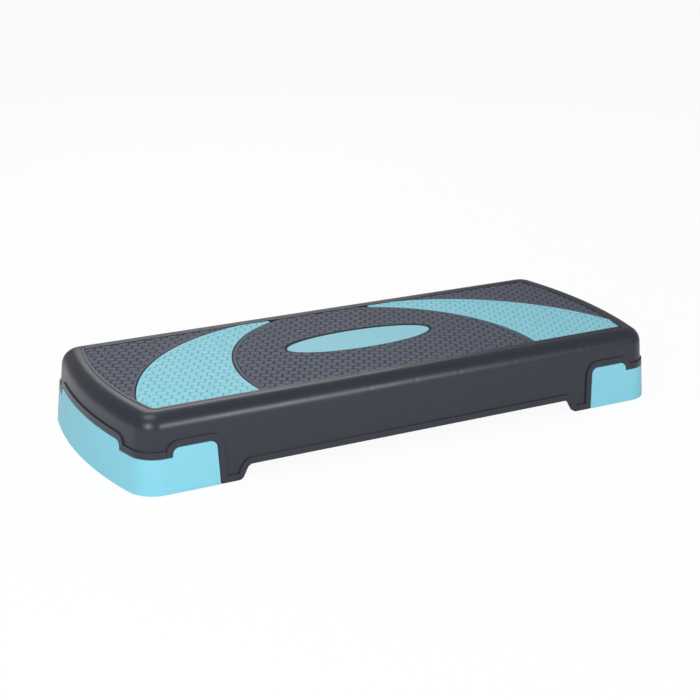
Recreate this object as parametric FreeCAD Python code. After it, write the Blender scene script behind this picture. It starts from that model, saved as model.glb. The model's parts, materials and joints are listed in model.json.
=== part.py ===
"""Aerobic step platform: a moulded deck on two sliding end risers, with tread mats and rubber feet.

Millimetres. The origin is on the floor under the middle of the deck, +X along its length, +Z up.
"""
import FreeCAD, Part
import math
import os

os.makedirs("parts", exist_ok=True)

V = FreeCAD.Vector

# Overall form: the lip's outer face at the floor, and the deck's top
HALF_LENGTH = 382.0
HALF_WIDTH = 150.0
END_RADIUS = 540.0
CORNER_RADIUS = 36.0
DECK_HEIGHT = 94.0
DRAFT_DEGREES = 5.0
TOP_EDGE_RADIUS = 20.5

# Deck moulding
SKIRT_WALL = 3.0
LIP_PROUD = 2.0
LIP_WIDTH = 8.0
TOP_PLATE = 3.6
UNDERSIDE_CHAMFER = 12.0
RIB_WALL = 2.5
RIB_DEPTH = 25.0
RIB_INNER_X = 64.0
RIB_OUTER_X = 144.5
RIB_Y = 46.0
BULKHEAD_SETBACK = 5.2
TAB_RIB_SETBACK = 13.0
BAY_RIB_GAP = 6.0

# Lower edge of the skirt
FOOT_STANDOFF = 0.6
MID_EDGE_HEIGHT = 17.7
TAB_SLOPE = 9.4
TAB_WIDTH = 27.2
TAB_LEAN = 2.4
NOTCH_LENGTH = 55.7
NOTCH_HEIGHT = 55.0
LUG_LENGTH = 59.2
LUG_HEIGHT = 44.0
END_LUG_LENGTH = 52.0
TAB_ROUND = 8.0
NOTCH_ROUND = 9.0
TAB_BLOCK_SETBACK = 11.0
TAB_DEPTH = 21.5
TAB_PLATE = 4.0

# Tread field in the deck's top
END_BORDER = 34.7
SIDE_BORDER = 35.9
FIELD_END_RADIUS = 437.3
FIELD_CORNER_RADIUS = 5.0
FIELD_DEPTH = 3.4
TREAD_THICKNESS = 2.5
BEAD_WIDTH = 3.7
BEAD_GROOVE_WIDTH = 1.2
BEAD_GROOVE_DEPTH = 0.8
TREAD_GAP = 0.8
TREAD_CLEARANCE = 0.3

# Crescent inlays: an ellipse on the inner side and a circle on the outer side, placed by where they
# cross the field's edges, measured along it from its end
INNER_FRONT_FROM_END = 147.3
INNER_BACK_FROM_END = 279.4
INNER_WIDEST_FROM_FRONT = 6.1
OUTER_CURVE_RADIUS = 309.0
OUTER_BACK_FROM_END = 219.7
OUTER_END_FROM_FRONT = 13.4

# Oval plate in the middle of the tread
BADGE_HALF_X = 103.0
BADGE_HALF_Y = 26.0
BADGE_TIP_RADIUS = 11.0
BADGE_THICKNESS = 1.5

# Risers
RISER_WALL = 3.0
RISER_GAP = 0.5
RISER_SKIRT_GAP = 0.8
RISER_TOP_GAP = 1.0
CROSS_WALL_HEIGHT = 60.0

# Guide posts on the risers, sleeves on the deck
POST_SIDE = 26.0
POST_WALL = 3.0
POST_TOP_GAP = 0.3
POST_INNER_FROM_END = 91.0
POST_INNER_FROM_SIDE = 46.0
POST_OUTER_FROM_END = 48.0
POST_OUTER_FROM_SIDE = 86.0
SLEEVE_GAP = 0.4
SLEEVE_WALL = 2.4
SLEEVE_BOTTOM = 12.0
SLEEVE_BRIDGE = 14.4
CATCH_PROUD = 2.0
CATCH_WIDTH = 8.0
CATCH_HEIGHT = 6.0
CATCH_BELOW_TOP = 4.0
CATCH_SIDE_GAP = 0.5
CATCH_END_GAP = 0.3

# Rubber feet
DECK_FOOT_X = 12.0
DECK_FOOT_Y = 14.0
RISER_FOOT_SIDE = 30.0
FOOT_POCKET = 1.8
FOOT_PLATE_MARGIN = 4.0
FOOT_PLATE = 4.0

# Values worked out from the driving sizes
DRAFT = math.radians(DRAFT_DEGREES)
SLOPE = math.tan(DRAFT)
NOTCH_OUTER = HALF_LENGTH - LUG_LENGTH
TAB_OUTER_TOP = NOTCH_OUTER - NOTCH_LENGTH
TAB_OUTER_BOTTOM = TAB_OUTER_TOP - TAB_LEAN
TAB_INNER_BOTTOM = TAB_OUTER_BOTTOM - TAB_WIDTH
MID_EDGE_HALF = TAB_INNER_BOTTOM - TAB_SLOPE
END_NOTCH_HALF = HALF_WIDTH - END_LUG_LENGTH
FIELD_HALF_LENGTH = HALF_LENGTH - END_BORDER
FIELD_HALF_WIDTH = HALF_WIDTH - SIDE_BORDER
FIELD_FLOOR = DECK_HEIGHT - FIELD_DEPTH
UNDERSIDE = FIELD_FLOOR - TOP_PLATE
SKIRT_INSIDE = LIP_PROUD + SKIRT_WALL
SKIRT_INSIDE_TOP = UNDERSIDE - UNDERSIDE_CHAMFER
UPSTAND_TOP = SKIRT_INSIDE_TOP - RISER_TOP_GAP
UPSTAND_OUTSIDE = SKIRT_INSIDE + UPSTAND_TOP * SLOPE + RISER_SKIRT_GAP
UPSTAND_INSIDE = UPSTAND_OUTSIDE + RISER_WALL
POST_TOP = UNDERSIDE - POST_TOP_GAP
CATCH_TOP = POST_TOP - CATCH_BELOW_TOP
CATCH_BOTTOM = CATCH_TOP - CATCH_HEIGHT
SLOT_BOTTOM = SLEEVE_BOTTOM + SLEEVE_BRIDGE
RISER_TRAVEL = CATCH_BOTTOM - CATCH_END_GAP - SLOT_BOTTOM
SLEEVE_INSIDE = POST_SIDE + 2 * SLEEVE_GAP
SLEEVE_OUTSIDE = SLEEVE_INSIDE + 2 * SLEEVE_WALL
CROSS_WALL_X = TAB_OUTER_TOP + RISER_GAP
BULKHEAD_X = TAB_OUTER_BOTTOM - BULKHEAD_SETBACK
TAB_RIB_X = BULKHEAD_X - SKIRT_WALL / 2 - TAB_RIB_SETBACK
BAY_RIB_BOTTOM = CROSS_WALL_HEIGHT + BAY_RIB_GAP
TAB_BLOCK_X = TAB_INNER_BOTTOM + TAB_BLOCK_SETBACK
TAB_FOOT_X = (TAB_BLOCK_X + TAB_OUTER_BOTTOM) / 2
TAB_FOOT_Y = HALF_WIDTH - SKIRT_INSIDE - DECK_FOOT_Y / 2
FAR = 3 * HALF_LENGTH
POSTS = [
    ("inner", HALF_LENGTH - POST_INNER_FROM_END, HALF_WIDTH - POST_INNER_FROM_SIDE),
    ("outer", HALF_LENGTH - POST_OUTER_FROM_END, HALF_WIDTH - POST_OUTER_FROM_SIDE),
]
SIDES = [("left", -1), ("right", 1)]
FACES = [("front", -1), ("back", 1)]


def arc_centres(half_length, half_width, end_radius, corner_radius):
    """Where an outline's end arc and corner arc are centred, and the angle at which they meet."""
    end_centre = half_length - end_radius
    corner_y = half_width - corner_radius
    reach = end_radius - corner_radius
    corner_x = end_centre + math.sqrt(reach ** 2 - corner_y ** 2)
    return end_centre, corner_x, corner_y, math.asin(corner_y / reach)


def outline(half_length, half_width, end_radius, corner_radius, z):
    """Closed wire: straight long sides, bowed ends and round corners, all tangent."""
    end_centre, corner_x, corner_y, turn = arc_centres(half_length, half_width, end_radius, corner_radius)
    meet = V(end_centre + end_radius * math.cos(turn), end_radius * math.sin(turn), z)
    half_turn = (turn + math.pi / 2) / 2
    knee = V(corner_x + corner_radius * math.cos(half_turn),
             corner_y + corner_radius * math.sin(half_turn), z)
    side = V(corner_x, half_width, z)
    tip = V(half_length, 0, z)

    def at(point, sign_x, sign_y):
        return V(sign_x * point.x, sign_y * point.y, z)

    edges = []
    for sign_x in (1, -1):
        low, high = -sign_x, sign_x
        edges.append(Part.Arc(at(side, sign_x, low), at(knee, sign_x, low), at(meet, sign_x, low)).toShape())
        edges.append(Part.Arc(at(meet, sign_x, low), at(tip, sign_x, 1), at(meet, sign_x, high)).toShape())
        edges.append(Part.Arc(at(meet, sign_x, high), at(knee, sign_x, high), at(side, sign_x, high)).toShape())
        edges.append(Part.LineSegment(at(side, sign_x, high), at(side, -sign_x, high)).toShape())
    return Part.Wire(edges)


def body_outline(inset, z):
    """The step's outline at a height, set in from the lip's drafted outer face."""
    total = inset + z * SLOPE
    return outline(HALF_LENGTH - total, HALF_WIDTH - total, END_RADIUS - total, CORNER_RADIUS - total, z)


def tapered(low_inset, bottom, high_inset, top):
    """Solid with the step's outline, set in by one distance at its bottom and another at its top."""
    return Part.makeLoft([body_outline(low_inset, bottom), body_outline(high_inset, top)], True, True)


def drafted(inset, bottom, top):
    """Solid with the step's outline and draft between two heights."""
    return tapered(inset, bottom, inset, top)


def rolled_over(inset, top, radius):
    """Solid with the step's outline and draft whose top edge is rolled over by a section run round it."""
    end_centre, corner_x, corner_y, turn = arc_centres(HALF_LENGTH, HALF_WIDTH, END_RADIUS, CORNER_RADIUS)
    flat = inset + top * SLOPE + radius * (1 - math.sin(DRAFT)) / math.cos(DRAFT)

    def roll(angle):
        return flat - radius * math.cos(angle), top - radius + radius * math.sin(angle)

    def section(reach, centre):
        def place(distance, z):
            return centre + V(reach - distance, 0, z)
        low_in, low_out = place(flat, 0), place(inset, 0)
        start, knee, end = place(*roll(DRAFT)), place(*roll((DRAFT + math.pi / 2) / 2)), place(flat, top)
        return Part.Face(Part.Wire([
            Part.LineSegment(low_in, low_out).toShape(), Part.LineSegment(low_out, start).toShape(),
            Part.Arc(start, knee, end).toShape(), Part.LineSegment(end, low_in).toShape()]))

    up = V(0, 0, 1)
    middle = V(end_centre, 0, 0)
    corner = V(corner_x, corner_y, 0)
    end = section(END_RADIUS, middle).revolve(middle, up, math.degrees(turn))
    bend = section(CORNER_RADIUS, corner)
    bend.rotate(corner, up, math.degrees(turn))
    bend = bend.revolve(corner, up, 90 - math.degrees(turn))
    side = section(HALF_WIDTH, V(0, 0, 0))
    side.rotate(V(0, 0, 0), up, 90)
    quarter = [end, bend, side.extrude(V(corner_x, 0, 0))]
    half = quarter + [piece.mirror(V(0, 0, 0), V(1, 0, 0)) for piece in quarter]
    ring = half + [piece.mirror(V(0, 0, 0), V(0, 1, 0)) for piece in half]
    core = outline(HALF_LENGTH - flat, HALF_WIDTH - flat, END_RADIUS - flat, CORNER_RADIUS - flat, 0)
    return Part.Face(core).extrude(V(0, 0, top)).multiFuse(ring).removeSplitter()


def upright(inset, bottom, top):
    """Upright prism with the step's outline at the floor, set in by a distance."""
    wire = outline(HALF_LENGTH - inset, HALF_WIDTH - inset, END_RADIUS - inset, CORNER_RADIUS - inset, bottom)
    return Part.Face(wire).extrude(V(0, 0, top - bottom))


def field_prism(inset, bottom, top):
    """Upright prism with the tread field's outline."""
    wire = outline(FIELD_HALF_LENGTH - inset, FIELD_HALF_WIDTH - inset, FIELD_END_RADIUS - inset,
                   max(FIELD_CORNER_RADIUS - inset, FIELD_CORNER_RADIUS / 4), bottom)
    return Part.Face(wire).extrude(V(0, 0, top - bottom))


def box(x0, x1, y0, y1, z0, z1):
    """Box between two corners given in any order."""
    low = V(min(x0, x1), min(y0, y1), min(z0, z1))
    return Part.makeBox(abs(x1 - x0), abs(y1 - y0), abs(z1 - z0), low)


def offset_corners(points, distance):
    """Corners of a polygon whose edges have all moved outwards by a distance."""
    moved = []
    count = len(points)
    for i, (point, radius) in enumerate(points):
        before = points[i - 1][0]
        after = points[(i + 1) % count][0]
        a = (point[0] - before[0], point[1] - before[1])
        b = (after[0] - point[0], after[1] - point[1])
        a_size = math.hypot(*a)
        b_size = math.hypot(*b)
        a_out = (a[1] / a_size, -a[0] / a_size)
        b_out = (b[1] / b_size, -b[0] / b_size)
        shared = 1 + a_out[0] * b_out[0] + a_out[1] * b_out[1]
        corner = tuple(point[k] + distance * (a_out[k] + b_out[k]) / shared for k in (0, 1))
        convex = a[0] * b[1] - a[1] * b[0] > 0
        rounded = radius + distance if convex else radius - distance
        moved.append((corner, max(rounded, 0.0)))
    return moved


def rounded_polygon(points, place, hidden=False):
    """Face with straight edges and a round, or where it is hidden a flat, at each corner with a radius."""
    edges = []
    starts = []
    ends = []
    arcs = []
    count = len(points)
    for i, (point, radius) in enumerate(points):
        here = V(point[0], point[1], 0)
        before = V(*points[i - 1][0], 0) - here
        after = V(*points[(i + 1) % count][0], 0) - here
        half = before.getAngle(after) / 2
        reach = radius / math.tan(half)
        before.normalize()
        after.normalize()
        start = here + before * reach
        end = here + after * reach
        middle = before + after
        middle.normalize()
        knee = here + middle * (radius / math.sin(half) - radius)
        starts.append(start)
        ends.append(end)
        arcs.append((start, knee, end) if radius > 0 else None)
    for i in range(count):
        if arcs[i] and hidden:
            edges.append(Part.LineSegment(place(starts[i]), place(ends[i])).toShape())
        elif arcs[i]:
            edges.append(Part.Arc(*[place(p) for p in arcs[i]]).toShape())
        edges.append(Part.LineSegment(place(ends[i]), place(starts[(i + 1) % count])).toShape())
    return Part.Face(Part.Wire(edges))


def lower_cut(margin, hidden=False):
    """What is cleared under the skirt: the gap between the tabs, the notches and the ends."""
    half = [
        ((MID_EDGE_HALF, MID_EDGE_HEIGHT), TAB_ROUND),
        ((TAB_INNER_BOTTOM, FOOT_STANDOFF), TAB_ROUND),
        ((TAB_OUTER_BOTTOM, FOOT_STANDOFF), 0.0),
        ((TAB_OUTER_TOP, NOTCH_HEIGHT), NOTCH_ROUND),
        ((NOTCH_OUTER, NOTCH_HEIGHT), NOTCH_ROUND),
        ((NOTCH_OUTER, LUG_HEIGHT), 0.0),
        ((FAR, LUG_HEIGHT), 0.0),
    ]
    upper = half[::-1] + [((-x, z), r) for (x, z), r in half]
    corners = [((-FAR, -FAR), 0.0), ((FAR, -FAR), 0.0)] + upper
    side_face = rounded_polygon(offset_corners(corners, margin), lambda p: V(p.x, -FAR, p.y), hidden)
    cut = side_face.extrude(V(0, 2 * FAR, 0))
    end_corners = [
        ((-END_NOTCH_HALF, -FAR), 0.0),
        ((END_NOTCH_HALF, -FAR), 0.0),
        ((END_NOTCH_HALF, NOTCH_HEIGHT), NOTCH_ROUND),
        ((-END_NOTCH_HALF, NOTCH_HEIGHT), NOTCH_ROUND),
    ]
    for sign in (1, -1):
        face = rounded_polygon(offset_corners(end_corners, margin), lambda p: V(sign * NOTCH_OUTER, p.x, p.y),
                               hidden)
        cut = cut.fuse(face.extrude(V(sign * FAR, 0, 0)))
    return cut


def sleeve_positions():
    """Every guide post's side, name and centre."""
    return [(side, sign_x, face, sign_y, row, sign_x * x, sign_y * y)
            for side, sign_x in SIDES for face, sign_y in FACES for row, x, y in POSTS]


def square(centre_x, centre_y, side, bottom, top):
    """Upright square block."""
    half = side / 2
    return box(centre_x - half, centre_x + half, centre_y - half, centre_y + half, bottom, top)


def foot_pad(centre_x, centre_y, size_x, size_y, bottom, top):
    """Flat block round a centre."""
    return box(centre_x - size_x / 2, centre_x + size_x / 2, centre_y - size_y / 2, centre_y + size_y / 2,
               bottom, top)


def tab_foot(sign_x, sign_y):
    """Rubber foot under one of the deck's tabs."""
    return foot_pad(sign_x * TAB_FOOT_X, sign_y * TAB_FOOT_Y, DECK_FOOT_X, DECK_FOOT_Y,
                    0, FOOT_STANDOFF + FOOT_POCKET)


def riser_foot(x, y):
    """Rubber foot under one of a riser's posts."""
    return foot_pad(x, y, RISER_FOOT_SIDE, RISER_FOOT_SIDE, 0, FOOT_STANDOFF + FOOT_POCKET)


def rib_grid():
    """Ribs under the deck's top between the two bulkheads."""
    bottom = UNDERSIDE - RIB_DEPTH
    half = RIB_WALL / 2
    ribs = [box(-half, half, -FAR, FAR, bottom, UNDERSIDE)]
    for sign in (1, -1):
        for x in (RIB_INNER_X, RIB_OUTER_X, TAB_RIB_X):
            ribs.append(box(sign * x - half, sign * x + half, -FAR, FAR, bottom, UNDERSIDE))
        ribs.append(box(-BULKHEAD_X, BULKHEAD_X, sign * RIB_Y - half, sign * RIB_Y + half, bottom, UNDERSIDE))
    return ribs


def deck():
    """The moulded top: shell, lip, ribs, bulkheads, tabs and guide sleeves."""
    outside = rolled_over(LIP_PROUD, DECK_HEIGHT, TOP_EDGE_RADIUS)
    inside = drafted(SKIRT_INSIDE, 0, SKIRT_INSIDE_TOP)
    inside = inside.fuse(tapered(SKIRT_INSIDE, SKIRT_INSIDE_TOP, SKIRT_INSIDE + UNDERSIDE_CHAMFER, UNDERSIDE))
    cut = lower_cut(0)
    skirt_top = NOTCH_HEIGHT + 2 * LIP_WIDTH
    wall_middle = LIP_PROUD + SKIRT_WALL / 2
    lip = drafted(0, 0, skirt_top).cut(drafted(wall_middle, 0, skirt_top)).common(lower_cut(LIP_WIDTH))
    shell = outside.cut(inside).fuse(lip).cut(cut)

    inner = rib_grid()
    for sign in (1, -1):
        wall = box(sign * BULKHEAD_X, sign * (BULKHEAD_X - SKIRT_WALL), -FAR, FAR, MID_EDGE_HEIGHT, UNDERSIDE)
        inner.append(wall)
    for side, sign_x, face, sign_y, row, x, y in sleeve_positions():
        inner.append(square(x, y, SLEEVE_OUTSIDE, SLEEVE_BOTTOM, UNDERSIDE))
        inner.append(box(sign_x * BULKHEAD_X, x, y - RIB_WALL / 2, y + RIB_WALL / 2, BAY_RIB_BOTTOM, UNDERSIDE))
    for sign_x in (1, -1):
        for row, x, y in POSTS:
            inner.append(box(sign_x * x - RIB_WALL / 2, sign_x * x + RIB_WALL / 2, -y, y,
                             BAY_RIB_BOTTOM, UNDERSIDE))
    for sign_x in (1, -1):
        for sign_y in (1, -1):
            inner.append(tab_block(sign_x, sign_y))
    inner = inner[0].multiFuse(inner[1:]).common(inside)
    for side, sign_x, face, sign_y, row, x, y in sleeve_positions():
        inner = inner.cut(square(x, y, SLEEVE_INSIDE, 0, UNDERSIDE))
        slot_half = CATCH_WIDTH / 2 + CATCH_SIDE_GAP
        inner = inner.cut(box(x, x + sign_x * SLEEVE_OUTSIDE / 2, y - slot_half, y + slot_half,
                              SLOT_BOTTOM, CATCH_TOP + CATCH_END_GAP))
    whole = shell.fuse(inner)

    whole = whole.cut(field_prism(0, FIELD_FLOOR, FAR))
    groove_floor = DECK_HEIGHT - BEAD_GROOVE_DEPTH
    groove = field_prism(-BEAD_WIDTH - BEAD_GROOVE_WIDTH, groove_floor, FAR)
    groove = groove.cut(field_prism(-BEAD_WIDTH, groove_floor, FAR))
    whole = whole.cut(groove)
    for sign_x in (1, -1):
        for sign_y in (1, -1):
            whole = whole.cut(tab_foot(sign_x, sign_y))
    return whole.removeSplitter()


def tab_block(sign_x, sign_y):
    """Box behind a tab, open towards the deck's middle, that carries the tab's rubber foot."""
    top = UNDERSIDE - RIB_DEPTH
    block = box(sign_x * TAB_BLOCK_X, sign_x * TAB_OUTER_BOTTOM,
                sign_y * (HALF_WIDTH - TAB_DEPTH), sign_y * HALF_WIDTH, FOOT_STANDOFF, top)
    pocket = box(sign_x * (TAB_BLOCK_X + SKIRT_WALL), sign_x * (TAB_OUTER_BOTTOM - SKIRT_WALL), -FAR, FAR,
                 FOOT_STANDOFF + TAB_PLATE, top - SKIRT_WALL)
    return block.cut(pocket)


def riser(sign_x):
    """One end riser: jogged wall, cross wall, frame ribs, posts and catches."""
    half_space = box(sign_x * TAB_FOOT_X, sign_x * FAR, -FAR, FAR, FOOT_STANDOFF, DECK_HEIGHT)
    opening = lower_cut(-RISER_GAP)

    ring_outside = drafted(0, FOOT_STANDOFF, DECK_HEIGHT)
    band = ring_outside.cut(drafted(RISER_WALL, 0, DECK_HEIGHT)).common(opening)
    ledge = ring_outside.cut(upright(UPSTAND_INSIDE, 0, DECK_HEIGHT)).common(opening)
    under_ledge = lower_cut(-RISER_GAP - RISER_WALL, hidden=True)
    ledge = ledge.cut(under_ledge)
    upstand = upright(UPSTAND_OUTSIDE, 0, UPSTAND_TOP).cut(upright(UPSTAND_INSIDE, 0, UPSTAND_TOP))
    upstand = upstand.cut(under_ledge)
    arm_space = box(sign_x * CROSS_WALL_X, sign_x * FAR, -FAR, FAR, FOOT_STANDOFF, UPSTAND_TOP)
    upstand = upstand.common(arm_space)

    core = drafted(RISER_WALL / 2, 0, DECK_HEIGHT)
    cavity = drafted(SKIRT_INSIDE + RISER_SKIRT_GAP, 0, DECK_HEIGHT)
    pieces = []
    cross = box(sign_x * CROSS_WALL_X, sign_x * (CROSS_WALL_X + RISER_WALL), -FAR, FAR,
                FOOT_STANDOFF, CROSS_WALL_HEIGHT)
    pieces.append(cross.common(cavity))
    frame_top = FOOT_STANDOFF + FOOT_PLATE
    low = []
    for row, x, y in POSTS:
        x_line = sign_x * x
        low.append(box(x_line - RIB_WALL / 2, x_line + RIB_WALL / 2, -FAR, FAR, FOOT_STANDOFF, frame_top))
        for sign_y in (1, -1):
            y_line = sign_y * y
            low.append(box(sign_x * CROSS_WALL_X, sign_x * FAR, y_line - RIB_WALL / 2, y_line + RIB_WALL / 2,
                           FOOT_STANDOFF, frame_top))
    pieces.append(low[0].multiFuse(low[1:]).common(core))
    for row, x, y in POSTS:
        for sign_y in (1, -1):
            pieces.append(post(sign_x, sign_x * x, sign_y * y))
    whole = band.fuse([ledge]).common(half_space)
    whole = whole.fuse([upstand] + pieces)
    for row, x, y in POSTS:
        for sign_y in (1, -1):
            inside = POST_SIDE - 2 * POST_WALL
            whole = whole.cut(square(sign_x * x, sign_y * y, inside, FOOT_STANDOFF + FOOT_PLATE, DECK_HEIGHT))
            whole = whole.cut(riser_foot(sign_x * x, sign_y * y))
    return whole.removeSplitter()


def post(sign_x, x, y):
    """Square guide post on a foot plate, with a catch on the face that looks to the step's end."""
    plate_side = RISER_FOOT_SIDE + 2 * FOOT_PLATE_MARGIN
    body = square(x, y, POST_SIDE, FOOT_STANDOFF, POST_TOP)
    plate = square(x, y, plate_side, FOOT_STANDOFF, FOOT_STANDOFF + FOOT_PLATE)
    reach = POST_SIDE / 2 + CATCH_PROUD
    catch = box(x, x + sign_x * reach, y - CATCH_WIDTH / 2, y + CATCH_WIDTH / 2, CATCH_BOTTOM, CATCH_TOP)
    return body.fuse([plate, catch])


def oval_prism(half_x, half_y, tip_radius, bottom, top):
    """Upright prism on an oval of two long arcs and two tip arcs, all tangent."""
    tip_x = half_x - tip_radius
    long_radius = (tip_x ** 2 + half_y ** 2 - tip_radius ** 2) / (2 * (half_y - tip_radius))
    lean = math.atan2(tip_x, long_radius - half_y)
    meet_x = tip_x + tip_radius * math.sin(lean)
    meet_y = tip_radius * math.cos(lean)
    edges = []
    for sign in (1, -1):
        start = V(sign * meet_x, sign * meet_y, bottom)
        turn = V(-sign * meet_x, sign * meet_y, bottom)
        end = V(-sign * meet_x, -sign * meet_y, bottom)
        edges.append(Part.Arc(start, V(0, sign * half_y, bottom), turn).toShape())
        edges.append(Part.Arc(turn, V(-sign * half_x, 0, bottom), end).toShape())
    return Part.Face(Part.Wire(edges)).extrude(V(0, 0, top - bottom))


def inner_curve(grow, bottom, top):
    """Upright prism on the ellipse that bounds the centre tread."""
    half_x = FIELD_HALF_LENGTH - INNER_FRONT_FROM_END
    back_x = FIELD_HALF_LENGTH - INNER_BACK_FROM_END
    centre_y = INNER_WIDEST_FROM_FRONT - FIELD_HALF_WIDTH
    half_y = (FIELD_HALF_WIDTH - centre_y) / math.sqrt(1 - (back_x / half_x) ** 2)
    centre = V(0, centre_y, bottom)
    along_x = V(half_x + grow, 0, 0)
    along_y = V(0, half_y + grow, 0)
    major, minor = (along_x, along_y) if half_x >= half_y else (along_y, along_x)
    curve = Part.Ellipse(centre + major, centre + minor, centre)
    return Part.Face(Part.Wire(curve.toShape())).extrude(V(0, 0, top - bottom))


def outer_curve(sign_x, grow, bottom, top):
    """Upright cylinder that bounds a crescent's outer side, through its two crossings of the field's edge."""
    back = V(FIELD_HALF_LENGTH - OUTER_BACK_FROM_END, FIELD_HALF_WIDTH, bottom)
    end = V(FIELD_HALF_LENGTH, OUTER_END_FROM_FRONT - FIELD_HALF_WIDTH, bottom)
    chord = end - back
    inward = V(chord.y, -chord.x, 0)
    inward.normalize()
    centre = (back + end) / 2 + inward * math.sqrt(OUTER_CURVE_RADIUS ** 2 - (chord.Length / 2) ** 2)
    return Part.makeCylinder(OUTER_CURVE_RADIUS + grow, top - bottom, V(sign_x * centre.x, centre.y, bottom))


def treads():
    """Tread mats, crescent inlays and the oval plate, each a separate piece in the field."""
    bottom = FIELD_FLOOR
    top = FIELD_FLOOR + TREAD_THICKNESS
    field = field_prism(TREAD_CLEARANCE, bottom, top)
    half_gap = TREAD_GAP / 2
    outside_inner = inner_curve(half_gap, bottom, top)

    def badge(grow, height):
        return oval_prism(BADGE_HALF_X + grow, BADGE_HALF_Y + grow, BADGE_TIP_RADIUS + grow,
                          bottom, bottom + height)

    centre = field.common(inner_curve(-half_gap, bottom, top))
    pieces = {"centre_tread": centre.cut(badge(half_gap, TREAD_THICKNESS))}
    pieces["badge_plate"] = badge(-half_gap, BADGE_THICKNESS)
    for side, sign_x in SIDES:
        half_field = field.common(box(0, sign_x * FAR, -FAR, FAR, bottom, top))
        half_field = half_field.cut(outside_inner)
        pieces[side + "_inlay"] = half_field.common(outer_curve(sign_x, -half_gap, bottom, top))
        pieces[side + "_tread"] = half_field.cut(outer_curve(sign_x, half_gap, bottom, top))
    return pieces


def all_pieces():
    """Every node's name and solid."""
    pieces = {"deck": deck()}
    for side, sign_x in SIDES:
        pieces[side + "_riser"] = riser(sign_x)
        for face, sign_y in FACES:
            pieces["deck_foot_" + face + "_" + side] = tab_foot(sign_x, sign_y)
            for row, x, y in POSTS:
                name = side + "_riser_foot_" + face + "_" + row
                pieces[name] = riser_foot(sign_x * x, sign_y * y)
    pieces.update(treads())
    return pieces


print("travel of the risers", round(RISER_TRAVEL, 3), "mm")
for name, shape in all_pieces().items():
    print(name, len(shape.Solids), "solid", shape.isValid(), round(shape.Volume / 1000, 2), "cm3")
    shape.exportStep("parts/" + name + ".step")
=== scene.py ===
"""Looks of an aerobic step platform: moulded shells, studded tread mats, oval plate, feet and stage.

Metres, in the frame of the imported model: the origin on the floor under the deck's middle, +X along
the deck, +Z up.
"""
import json
import math

import bmesh
import bpy
from mathutils import Matrix, Vector


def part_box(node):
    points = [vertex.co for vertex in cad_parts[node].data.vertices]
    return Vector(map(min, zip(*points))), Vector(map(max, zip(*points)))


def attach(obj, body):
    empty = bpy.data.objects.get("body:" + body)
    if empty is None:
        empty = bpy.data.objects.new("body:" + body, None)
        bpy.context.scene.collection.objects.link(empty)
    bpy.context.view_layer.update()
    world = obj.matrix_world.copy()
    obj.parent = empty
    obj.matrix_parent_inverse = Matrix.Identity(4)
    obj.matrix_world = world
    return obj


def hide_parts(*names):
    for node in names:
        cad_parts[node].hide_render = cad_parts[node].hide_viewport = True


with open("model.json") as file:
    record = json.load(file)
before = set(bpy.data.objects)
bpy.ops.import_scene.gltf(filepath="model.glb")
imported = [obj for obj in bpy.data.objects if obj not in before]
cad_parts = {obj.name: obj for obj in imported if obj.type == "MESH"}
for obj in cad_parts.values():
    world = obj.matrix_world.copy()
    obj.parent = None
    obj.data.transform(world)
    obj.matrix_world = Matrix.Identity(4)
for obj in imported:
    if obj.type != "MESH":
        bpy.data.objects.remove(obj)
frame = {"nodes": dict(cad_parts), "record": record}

bl_info = {
    "name": "Aerobic step platform",
    "version": (1, 0, 0),
    "blender": (4, 5, 0),
    "location": "View3D > Sidebar > Step",
    "description": "Builds the visible pieces of a two-level aerobic step round its packed frame",
    "category": "Object",
}

MM = 0.001

# Outline of the step: the lip's outer face at the floor, and its draft
HALF_LENGTH = 382 * MM
HALF_WIDTH = 150 * MM
END_RADIUS = 540 * MM
CORNER_RADIUS = 36 * MM
DRAFT_SLOPE = math.tan(math.radians(5))

# Depth inside that outline within which an edge counts as an outer one
DECK_EDGE_DEPTH = 3 * MM
RISER_EDGE_DEPTH = 1 * MM

# How far the inner side of the lip's ledge lies inside the outline, at least and at most
LEDGE_INSET = (1.5 * MM, 2.4 * MM)

# Turn from which an edge counts as sharp, on the outer face and on top
OUTER_EDGE_ANGLE = math.radians(40)
TOP_EDGE_ANGLE = math.radians(60)

# Height within which points are level with the bead's top, and with the oval's top or a foot's sole
BEAD_LEVEL_SPAN = 0.05 * MM
LEVEL_SPAN = 0.1 * MM

# Welding of the solids' meshes: points so near are one, edges so short go, faces so nearly flat are joined
WELD_DISTANCE = 0.004 * MM
SPECK_LENGTH = 0.002 * MM
FLAT_ANGLE = math.radians(0.1)

# Tread field: its edges as the mats leave them
FIELD_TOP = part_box("centre_tread")[1].z
FIELD_HALF_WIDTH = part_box("centre_tread")[1].y
FIELD_HALF_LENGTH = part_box("right_tread")[1].x
FIELD_END_RADIUS = 437 * MM

# Seams that part the mats: an ellipse round the centre mat, a circle outside each crescent
INNER_HALF_X = 198.4 * MM
INNER_HALF_Y = 209.5 * MM
INNER_CENTRE_Y = -85.4 * MM
OUTER_RADIUS = 279 * MM
OUTER_CENTRE_X = 71.8 * MM
OUTER_CENTRE_Y = -161 * MM
SEAM_HALF_GAP = 0.4 * MM

# First angle and sweep of the rims along the two seams, long enough to pass the field's edges
INNER_RIM_TURN = (math.radians(-14), math.radians(92))
OUTER_RIM_TURN = (math.radians(10), math.radians(78))
RIM_STEPS = 72

# The same seams on the solids: the ellipse's middle and half axes, the right circle's middle and radius
SOLID_INNER = (-108 * MM, 200 * MM, 236 * MM)
SOLID_OUTER_CENTRE = (50 * MM, -185 * MM)
SOLID_OUTER_RADIUS = 309 * MM

# How near a solid's seam a point lies to be drawn to the new seam, and the steps that takes
SOLID_SEAM_REACH = 0.2 * MM
SEAM_STEPS = 4

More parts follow.
